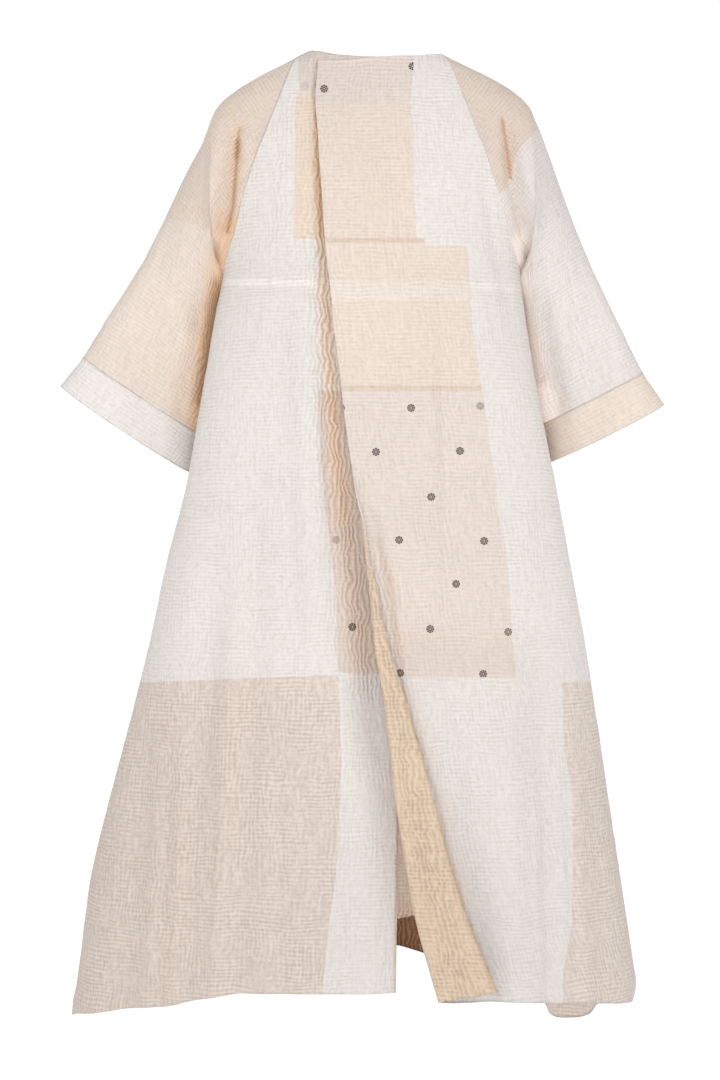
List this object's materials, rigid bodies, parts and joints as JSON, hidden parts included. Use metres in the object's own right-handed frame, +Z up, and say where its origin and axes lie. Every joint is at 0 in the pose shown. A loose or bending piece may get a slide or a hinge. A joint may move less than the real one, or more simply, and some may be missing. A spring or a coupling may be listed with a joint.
{
  "type": "maxi kimono",
  "caption": "Ankle-length open-front kimono in quilted patchwork cotton, with raglan sleeves, contrast cuffs and one front lapped over the other.",
  "frame": {"origin": "the shoulder line, midway between the two neck points, where a wearer's shoulders or a hanger hold the garment", "axes": "+Z up, front towards -Y, +X towards the wearer's left"},
  "size_m": [0.8066, 0.3711, 1.3117],
  "materials": {
    "quilted_white": "matte two-layer cotton with running-stitch rows",
    "quilted_beige": "matte two-layer cotton with running-stitch rows"
  },
  "bodies": {
    "root": {"back": "quilted_white", "front_under": "quilted_white", "front_lapping": "quilted_beige", "sleeve_right": "quilted_beige", "sleeve_left": "quilted_beige", "cuff_right": "quilted_white", "cuff_left": "quilted_beige"}
  },
  "joints": []
}
